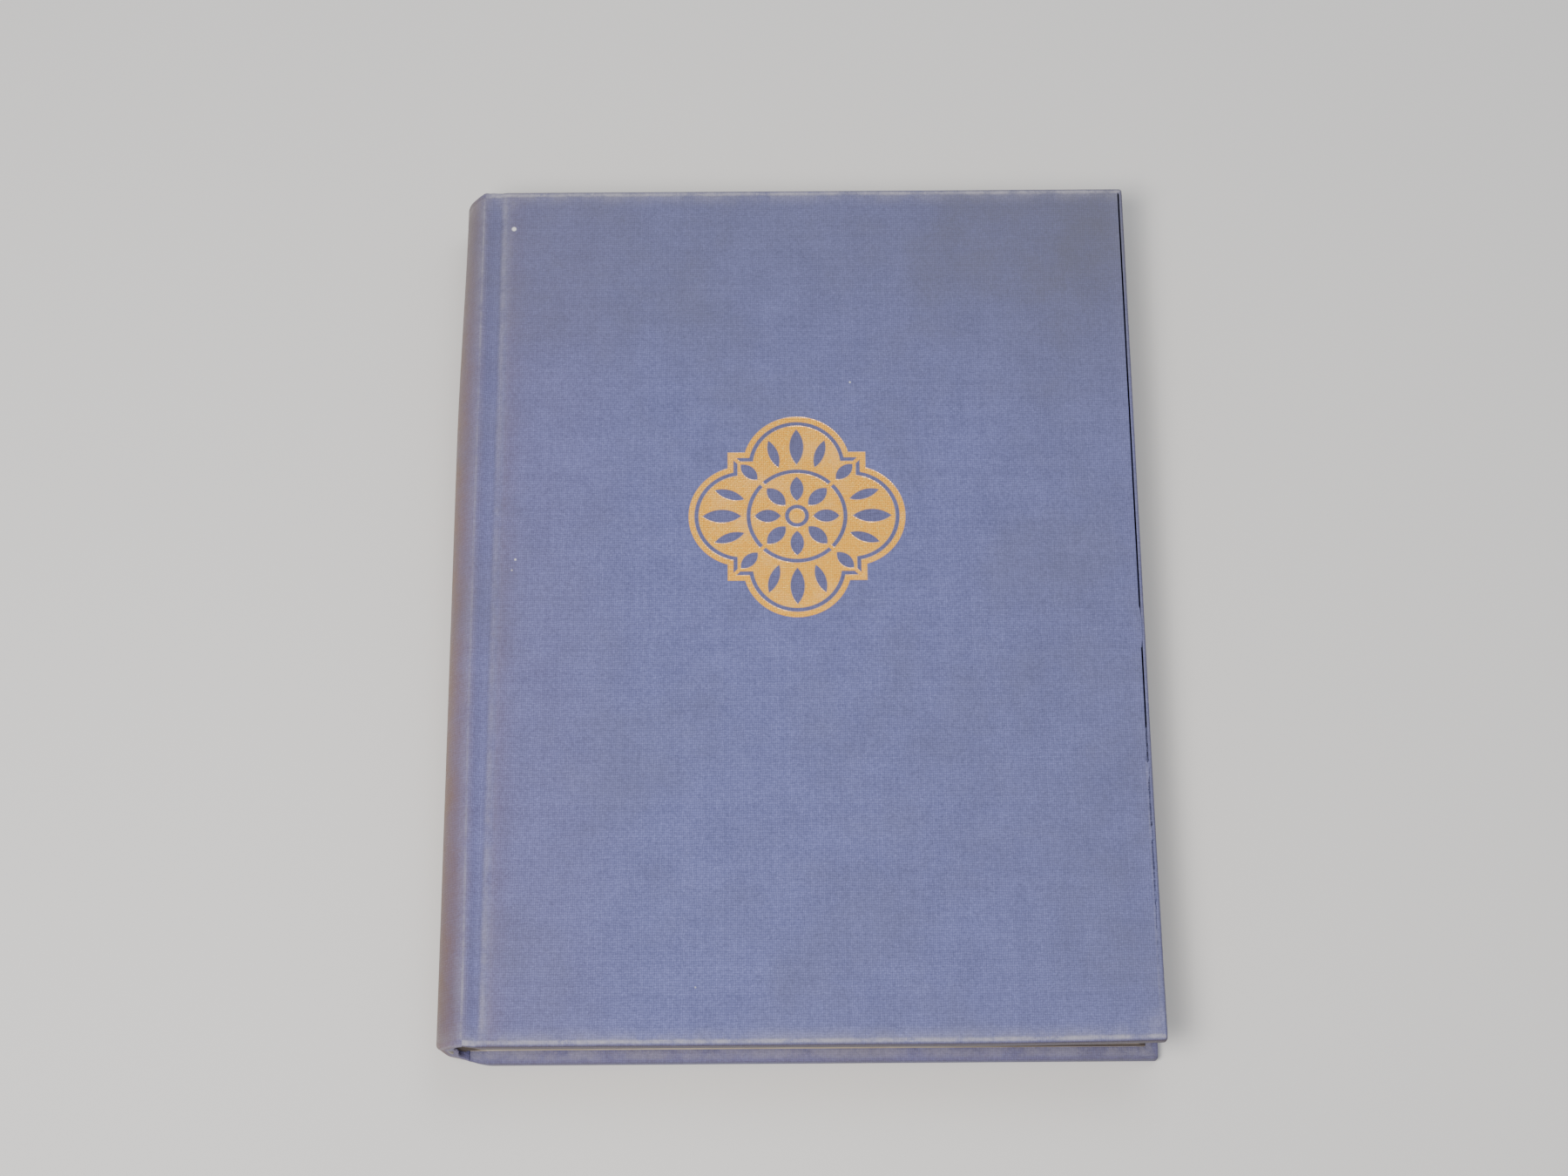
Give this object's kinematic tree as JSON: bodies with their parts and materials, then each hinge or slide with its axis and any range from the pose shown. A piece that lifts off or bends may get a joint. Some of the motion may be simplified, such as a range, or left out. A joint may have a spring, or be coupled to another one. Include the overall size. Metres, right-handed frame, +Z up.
{
  "type": "hardback book",
  "caption": "Case-bound hardback book in blue cloth with rounded back, French joints and a gold-stamped panel; both covers open.",
  "frame": {"origin": "under the middle of the closed book's outline, on the surface that the back cover lies on", "axes": "+X from the spine to the fore-edge, +Y from the tail to the head, +Z up through the thickness to the front cover"},
  "size_m": [0.1934, 0.254, 0.0235],
  "materials": {
    "book_paper": "matte",
    "endpaper": "matte",
    "mull_cloth": "matte",
    "lining_paper": "matte",
    "band_thread": "satin",
    "greyboard": "matte",
    "blue_cloth": "matte",
    "gold_foil": "satin"
  },
  "bodies": {
    "text_block": {"text_block": "book_paper", "front_flyleaf": "endpaper", "back_flyleaf": "endpaper", "mull": "mull_cloth", "spine_lining": "lining_paper", "head_band": "band_thread", "tail_band": "band_thread", "spine_inlay": "greyboard", "spine_cloth": "blue_cloth"},
    "front_cover": {"front_board": "greyboard", "front_cloth": "blue_cloth", "front_pastedown": "endpaper", "front_mull_wing": "mull_cloth", "gold_stamping": "gold_foil"},
    "back_cover": {"back_board": "greyboard", "back_cloth": "blue_cloth", "back_pastedown": "endpaper", "back_mull_wing": "mull_cloth"}
  },
  "joints": [
    {"name": "front_cover_hinge", "type": "hinge", "parent": "text_block", "child": "front_cover", "pos_m": [-0.0899, 0, 0.02176], "axis": [0, -1, 0], "range_deg": [0, 179]},
    {"name": "back_cover_hinge", "type": "hinge", "parent": "text_block", "child": "back_cover", "pos_m": [-0.0899, 0, 0.0017], "axis": [0, 1, 0], "range_deg": [0, 179]}
  ]
}
